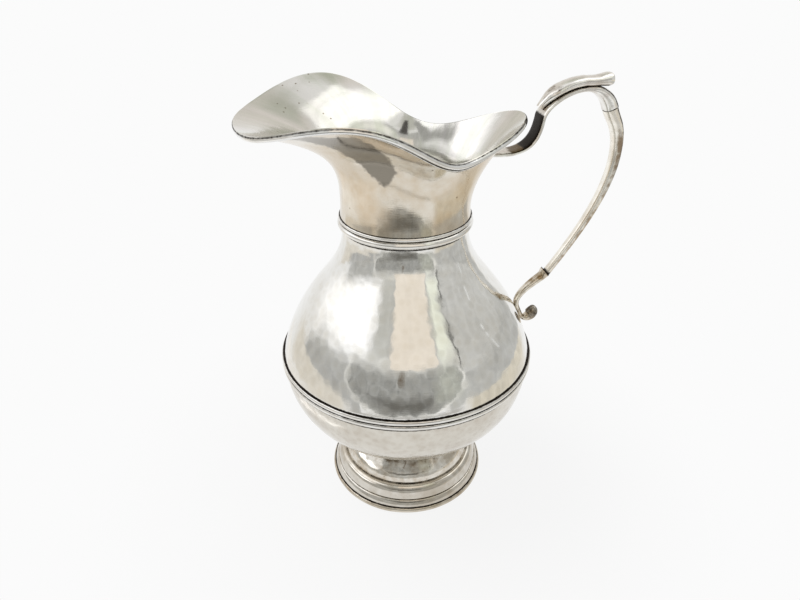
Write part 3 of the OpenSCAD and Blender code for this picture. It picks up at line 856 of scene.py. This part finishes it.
blunt = np.sqrt(1 - (0.7 * np.maximum(free - 0.75, 0) / 0.25) ** 2)
blunt *= (1 - np.maximum((free - 0.9) / 0.1003, 0) ** 3) ** 0.4
leaf_depth = np.concatenate([seat_half, leaf_t / 2 * (1 + leaf_roll * ease((free - 0.35) / 0.55)) * blunt])
leaf_width = [0.45 + 0.55 * ease(2 * seated), (1 - 0.12 * ease(free / 0.8)) * blunt]
leaf_width = leaf_w / 2 * np.concatenate(leaf_width)
leaf = bar(leaf_place, leaf_way, leaf_depth, leaf_width, square=2.4)
thumb_leaf = make(
    "thumb_leaf", leaf, hammered, handle_silver, hammer(11, *HANDLE_MARKS)
)
along_leaf = np.arange(len(leaf_place))
# the leaf's underside is painted dark as shade in the gap
beneath = np.outer(np.ones(len(leaf_place)), leftward < -0.8)
vein_cuts = (np.arange(BAR_SIDES) % 3 == 1) & (np.sin(around) < 0.2)
veins = np.outer(peak(along_leaf, 14, 12), vein_cuts)
paint(thumb_leaf, "crease", np.maximum(0.9 * beneath, 0.75 * veins).ravel())
leaf_brown = 0.34 * peak(along_leaf, 24, 12) + 0.34 * peak(along_leaf, 82, 12)
paint(thumb_leaf, "stain", np.repeat(leaf_brown, BAR_SIDES))
paint(thumb_leaf, "pits", np.repeat(0.3 * peak(along_leaf, 84, 9), BAR_SIDES))

# Handle arm: forged bar, full at the knuckle and drawn down to the collar.
# It is soldered to the strap at the knuckle, where the joint shows as a dark crease.
arm_end_t, arm_end_w, tail_seat_t = 4.2, 6.0, 3.4
arm_out, arm_drop, tail_rise, collar_out, collar_up = 7.9, 25.9, 16.0, 17.6, 23.0
arm_silver = silver(
    "arm_silver", (0.95, 0.92, 0.85), (0.62, 0.55, 0.45), 0.45, 60.0, 0.2,
    spots=0.03, spot_grid=420.0, blot=(0.36, 0.28, 0.2),
)
unit = (hk3 - hk2) / np.linalg.norm(hk3 - hk2)
ha3 = hk3 + np.array([arm_out, -arm_drop])
ha1 = hk3 + 8 * unit
ha2 = ha3 + np.array([0.0, 16.0])
z_tail = z_belly1 + tail_rise
tail_r = np.interp(z_tail, outside[:, 1], outside[:, 0])
ht3 = np.array([tail_r + tail_seat_t / 2 - seat, z_tail])
hc3 = ht3 + np.array([collar_out, collar_up])
hc1 = ha3 - np.array([0.0, 22.0])
hc2 = hc3 + 32 * np.array([0.575, 0.818])
v = np.linspace(0, 2, 161)
place, way = two_curves((hk3, ha1, ha2, ha3), (ha3, hc1, hc2, hc3), v)
place[0] -= seat * way[0]
place[-1] += 0.6 * way[-1]
arm_depth = (arm_t + (arm_end_t - arm_t) * ease(v / 2)) / 2
arm_width = (arm_w + (arm_end_w - arm_w) * ease(v / 2)) / 2
arm = bar(place, way, arm_depth, arm_width, square=2.7)
handle_arm = make("handle_arm", arm, hammered, arm_silver, hammer(12, *HANDLE_MARKS))
joints = peak(v, 0, 0.025) + peak(v, 2, 0.02)
# a dark line along the arm's outer corner, lighter further down: tarnish together with painted shade and
# reflection
outer_side = np.outer(0.85 - 0.35 * ease((v - 0.4) / 0.6), outer_corner)
paint(handle_arm, "crease", np.maximum(np.repeat(joints, BAR_SIDES), outer_side.ravel()))
brown_share = np.maximum(0.8 * peak(v, 0.95, 0.4), 0.5 * ease((v - 1.0) / 0.3))
browned = np.outer(brown_share, ease((leftward + 0.65) / 0.7))
paint(handle_arm, "stain", browned.ravel())
paint(handle_arm, "pits", np.repeat(peak(v, 0.85, 0.2), BAR_SIDES))

# Tail scroll: a tapered bar let onto the arm in a collar with a small ear.
# It is soldered to the body above the belly band and ends in a curl, brown with tarnish.
tail_silver = silver(
    "tail_silver", (0.76, 0.71, 0.62), (0.29, 0.21, 0.12), 0.85, 140.0, 0.16, spots=0.2, spot_grid=420.0
)
tail_t, curl_r, tail_run, collar_ear = 5.2, 4.2, 7.0, 1.8
seat_share = np.interp(z_tail, outside[:, 1], share)
tail_way = -slope_of(*shoulder, seat_share)
tail_out = left_of(tail_way)
ht1 = hc3 - np.array([6.5, 5.2])
ht2 = ht3 - 10 * tail_way
v = np.linspace(0, 2, 201)


def tail_line(v):
    """The tail's middle line: a curve down to its seat, a run along the body, then the curl."""
    down = cubic(hc3, ht1, ht2, ht3, np.minimum(v, 1))
    run = tail_run * np.clip((v - 1) / 0.4, 0, 1)[:, None] * tail_way
    bend = np.radians(200) * np.maximum(v - 1.4, 0)[:, None] / 0.6
    curl = ht3 + run + curl_r * (np.sin(bend) * tail_way + (1 - np.cos(bend)) * tail_out)
    return np.where((v <= 1)[:, None], down, curl)


way = tail_line(v + 0.01) - tail_line(np.maximum(v - 0.01, 0))
way /= np.linalg.norm(way, axis=1, keepdims=True)
ear = collar_ear * (1 - ease((v - 0.04) / 0.1))
ball = (2 * curl_r - 0.4 - tail_seat_t) * ease((v - 1.45) / 0.4)
close = np.sqrt(1 - np.maximum((v - 1.84) / 0.165, 0) ** 2)
place = tail_line(v) - ear[:, None] / 2 * left_of(way)
tail_depth = ((tail_t + (tail_seat_t - tail_t) * ease(v / 0.8) + ball) * close + ear) / 2
tail_width = (arm_end_w + 1.4 + (tail_seat_t + 0.6 - arm_end_w) * ease(v / 0.9) + ball / 2) * close / 2
tail = bar(place, way, tail_depth, tail_width, square=2.3)
tail_scroll = make("tail_scroll", tail, hammered, tail_silver, hammer(13, *HANDLE_MARKS))
# painted shade where the tail sits on the body, darker again along the curl and at the collar joint
seat_shade_and_dark_curl = 0.5 * peak(v, 1.1, 0.2) + 0.6 * ease((v - 1.5) / 0.3) + peak(v, 0, 0.03)
paint(tail_scroll, "crease", np.repeat(seat_shade_and_dark_curl, BAR_SIDES))

# Camera: a wide lens held close, above the pitcher and a little to its lip's side.
# Its place and tilt were worked out from the rings of foot, belly and neck.
side_turn = math.radians(-11.2)
pitch, yaw, roll = math.radians(30.6), math.radians(-0.63), math.radians(0.58)
camera_back, camera_up = 0.32, 0.3216
look = Vector((math.sin(yaw) * math.cos(pitch), math.cos(yaw) * math.cos(pitch), -math.sin(pitch)))
right = look.cross(Vector((0, 0, 1))).normalized()
down = look.cross(right)
right, down = math.cos(roll) * right + math.sin(roll) * down, math.cos(roll) * down - math.sin(roll) * right
turn = Matrix.Rotation(side_turn, 3, "Z")
axes = Matrix([turn @ right, turn @ -down, turn @ -look]).transposed()
lens = bpy.data.cameras.new("photo_lens")
lens.sensor_width = 36.0
lens.lens = 27.0
lens.clip_start = 0.01
camera = bpy.data.objects.new("camera", lens)
camera.matrix_world = Matrix.Translation(turn @ Vector((0, -camera_back, camera_up))) @ axes.to_4x4()
scene.collection.objects.link(camera)
scene.camera = camera

# Floor: a round of pale paper that fades into the white studio.
# Part of its white is its own, and near the foot the rest is lit, so that it keeps a soft shadow.
PAPER = (0.965, 0.965, 0.965, 1.0)
floor_r, floor_sides = 0.34, 120
spokes = [math.radians(360 * i / floor_sides) for i in range(floor_sides)]
rim = [(floor_r * math.cos(a), floor_r * math.sin(a), 0.0) for a in spokes]
floor_mesh = mesh_of("floor", rim, faces=[tuple(range(floor_sides))])
floor = bpy.data.objects.new("floor", floor_mesh)
scene.collection.objects.link(floor)
paper = bpy.data.materials.new("paper")
paper.use_nodes = True
tree = paper.node_tree
tree.nodes.clear()
out_from = put(tree, "ShaderNodeTexCoord").outputs["Object"]
out_from = put(tree, "ShaderNodeVectorMath", {0: out_from}, operation="LENGTH").outputs["Value"]
own_white = ramp(tree, out_from, 0.08, 0.24, 0.89, 1.0)
matt = put(tree, "ShaderNodeBsdfDiffuse", {"Color": (0.9, 0.9, 0.9, 1.0)})
glow = put(tree, "ShaderNodeEmission", {"Color": PAPER, "Strength": 1.0})
both = put(tree, "ShaderNodeMixShader", {0: own_white, 1: matt, 2: glow})
faded = put(tree, "ShaderNodeMapRange", {"Value": out_from, "From Min": 0.2, "From Max": floor_r}).outputs[0]
gone = put(tree, "ShaderNodeBsdfTransparent")
both = put(tree, "ShaderNodeMixShader", {0: faded, 1: both, 2: gone})
put(tree, "ShaderNodeOutputMaterial", {0: both})
floor_mesh.materials.append(paper)

# Studio: white all round, with plain white, grey, cream and dark screens for the silver to reflect.
# Each screen is a patch of a ball about the pitcher's middle and shows in the silver only.
world = bpy.data.worlds.new("studio")
scene.world = world
world.use_nodes = True
sky = world.node_tree
sky.nodes.clear()
ray = put(sky, "ShaderNodeLightPath").outputs
seen = add(sky, ray["Is Camera Ray"], ray["Is Glossy Ray"], "MAXIMUM")
seen = add(sky, seen, ray["Is Transmission Ray"], "MAXIMUM")
soft = put(sky, "ShaderNodeBackground", {"Color": (1, 1, 1, 1), "Strength": 0.6})
white = put(sky, "ShaderNodeBackground", {"Color": PAPER, "Strength": 1.0})
surround = put(sky, "ShaderNodeMixShader", {0: seen, 1: soft, 2: white})
put(sky, "ShaderNodeOutputWorld", {0: surround})

# A row gives the ball's radius in metres; where the patch starts and ends, in degrees right of the
# camera's side; its lowest and highest degrees above the horizon, and again for its right end where
# that differs; its tone; the soft share of its sides and bottom, then of its top; and how patchy it is.
SCREENS = {
    "wall": (4.0, (-104, 132), (-7, 48), (0.54, 0.54, 0.525), (0.04, 0.04), 0.9),
    "back": (3.9, (140, 237), (6, 62), (0.78, 0.745, 0.7), (0.2, 0.2), 0.5),
    "back_top": (3.8, (158, 188), (30, 66), (0.6, 0.61, 0.54), (0.3, 0.3), 0.5),
    "window": (3.7, (-130, -27), (1, 77, 18, 79), (1.5, 1.5, 1.52), (0.22, 0.16), 0.5),
    "left_mid": (3.6, (-130, -44), (-20, -3), (0.84, 0.8, 0.73), (0.12, 0.05), 0.5),
    "left_low": (3.5, (-150, -44), (-44, -19), (1.02, 0.99, 0.95), (0.12, 0.12), 0.5),
    "right_window": (3.4, (70, 148), (34, 84, 26, 84), (1.6, 1.6, 1.58), (0.2, 0.2), 0.5),
    "right_top": (3.35, (136, 164), (50, 84, 58, 84), (1.5, 1.5, 1.48), (0.3, 0.2), 0.5),
    "front_top": (3.3, (-50, 55), (50, 86), (0.62, 0.62, 0.58), (0.2, 0.2), 0.5),
    "right_grey": (3.2, (52, 132), (-4, 46, -4, 27), (0.66, 0.66, 0.645), (0.04, 0.04), 0.9),
    "right_low": (3.1, (46, 140), (-44, -2), (0.76, 0.71, 0.61), (0.12, 0.05), 0.9),
    "right_near": (0.4, (48, 132), (-12, 4, -20, 4), (0.56, 0.56, 0.545), (0.03, 0.14), 0.95),
    "foot_shade": (0.15, (-95, -35), (-45, -31), (0.93, 0.93, 0.93), (0.1, 0.1), 0.1),
    "foot_light": (0.16, (-90, -40), (-47.2, -35), (2.2, 2.2, 2.24), (0.2, 0.2), 0.2),
    "lip_light": (0.36, (40, 98), (38, 56), (1.0, 1.01, 0.93), (0.25, 0.25), 0.5),
    "lip_bar": (0.35, (-61, -32), (34, 80, 34, 76), (0.44, 0.44, 0.43), (0.2, 0.12), 0.5),
    "front_left": (0.33, (-37, -14), (8, 50), (0.66, 0.66, 0.63), (0.25, 0.25), 0.8),
    "front_under": (0.2, (-40, 40), (-21.6, -18.7), (0.56, 0.55, 0.53), (0.06, 0.12), 0.5),
    "front_edge": (0.313, (-51.5, 50.5), (-16.4, 24), (1.0, 0.99, 0.95), (0.02, 0.35), 0.5),
    "front_mass": (0.31, (-49.5, 47), (-15.8, 18), (0.4, 0.4, 0.385), (0.03, 0.3), 2.0),
    "front_low": (0.308, (-40, 38), (-15, -2), (0.18, 0.175, 0.16), (0.3, 0.5), 1.2),
    "mass_right": (0.307, (20, 46), (-13, 14), (0.52, 0.53, 0.48), (0.3, 0.3), 1.4),
    "front_pale": (0.306, (29, 46.6), (6, 56, 14, 56), (1.03, 1.06, 0.94), (0.3, 0.3), 0.8),
    "dark_gap": (0.304, (46.6, 48.8), (5, 33), (0.03, 0.03, 0.025), (0.2, 0.2), 0.5),
    "front_cream": (0.3, (-15.5, 29), (12.6, 52), (0.99, 0.91, 0.81), (0.02, 0.02), 0.3),
    "front_line": (0.298, (-6.5, -1.5), (2, 13), (0.14, 0.1, 0.06), (0.45, 0.45), 0.5),
    "lip_dark": (0.3, (2, 42), (58, 84), (0.1, 0.095, 0.09), (0.1, 0.1), 0.5),
    "left_near": (0.41, (-104, -48), (-8, 2, -11.5, 6), (0.53, 0.53, 0.52), (0.12, 0.45), 0.95),
    "left_corner": (0.405, (-51, -33), (-11.5, 4, -17, 4), (0.53, 0.53, 0.52), (0.08, 0.3), 0.5),
    "right_corner": (0.395, (31, 52), (-16.5, 4, -11.5, 4), (0.6, 0.6, 0.58), (0.08, 0.3), 0.5),
}
# these are rounded off below a height in degrees, as squarely as the power says
ROUNDED = ("front_edge", "front_mass", "front_low")
rounded_below, rounded_power = 3, 2.2
middle = Vector((0, 0, 0.15))
cells = 24
row = cells + 1
square = [(i / cells, j / cells) for j in range(row) for i in range(row)]
corners = [i + row * j for j in range(cells) for i in range(cells)]
faces = [(k, k + 1, k + row + 1, k + row) for k in corners]
for label, (distance, sides, heights, tone, (soft_edge, soft_top), patchy) in SCREENS.items():
    points = []
    for i, j in square:
        lowest = heights[0] + (heights[-2] - heights[0]) * i
        highest = heights[1] + (heights[-1] - heights[1]) * i
        height = lowest + (highest - lowest) * j
        side = sides[0] + (sides[1] - sides[0]) * i
        if label in ROUNDED:
            sunk = max(0.0, (rounded_below - height) / (rounded_below - lowest))
            centre = (sides[0] + sides[1]) / 2
            side = centre + (side - centre) * max(0.0, 1 - sunk**rounded_power) ** (1 / rounded_power)
        side, height = math.radians(side), math.radians(height)
        away = (math.sin(side) * math.cos(height), -math.cos(side) * math.cos(height), math.sin(height))
        points.append(middle + distance * (turn @ Vector(away)))
    board = mesh_of(label, points, faces=faces)
    screen = bpy.data.objects.new(label, board)
    scene.collection.objects.link(screen)
    cover = [min(min(i, 1 - i, j) / soft_edge, (1 - j) / soft_top) for i, j in square]
    paint(screen, "cover", np.array(cover))
    tint = bpy.data.materials.new(label)
    tint.use_nodes = True
    tree = tint.node_tree
    tree.nodes.clear()
    clear = put(tree, "ShaderNodeBsdfTransparent")
    uneven = put(tree, "ShaderNodeTexCoord").outputs["Object"]
    uneven = noise(tree, uneven, (9.0 if patchy < 1 else 24.0) / distance, 4.0, 0.65)
    uneven = add(tree, add(tree, uneven, patchy, "MULTIPLY"), 1 - patchy / 2)
    light = put(tree, "ShaderNodeEmission", {"Color": (*tone, 1.0), "Strength": uneven})
    shown = {0: painted(tree, "cover"), 1: clear, 2: light}
    shown = put(tree, "ShaderNodeMixShader", shown)
    put(tree, "ShaderNodeOutputMaterial", {0: shown})
    board.materials.append(tint)
    screen.visible_camera = screen.visible_diffuse = screen.visible_shadow = False

# Lamp: one broad soft lamp, up on the left, for the shadow round the foot.
# The silver doesn't show it.
lamp_data = bpy.data.lights.new("soft_lamp", "AREA")
lamp_data.energy = 14.0
lamp_data.size = 1.2
lamp = bpy.data.objects.new("soft_lamp", lamp_data)
lamp_from = turn @ Vector((-1.0, 0.3, 1.6))
lamp.matrix_world = Matrix.Translation(lamp_from) @ lamp_from.to_track_quat("Z", "Y").to_matrix().to_4x4()
lamp.visible_glossy = False
scene.collection.objects.link(lamp)

scene.view_settings.view_transform = "Standard"
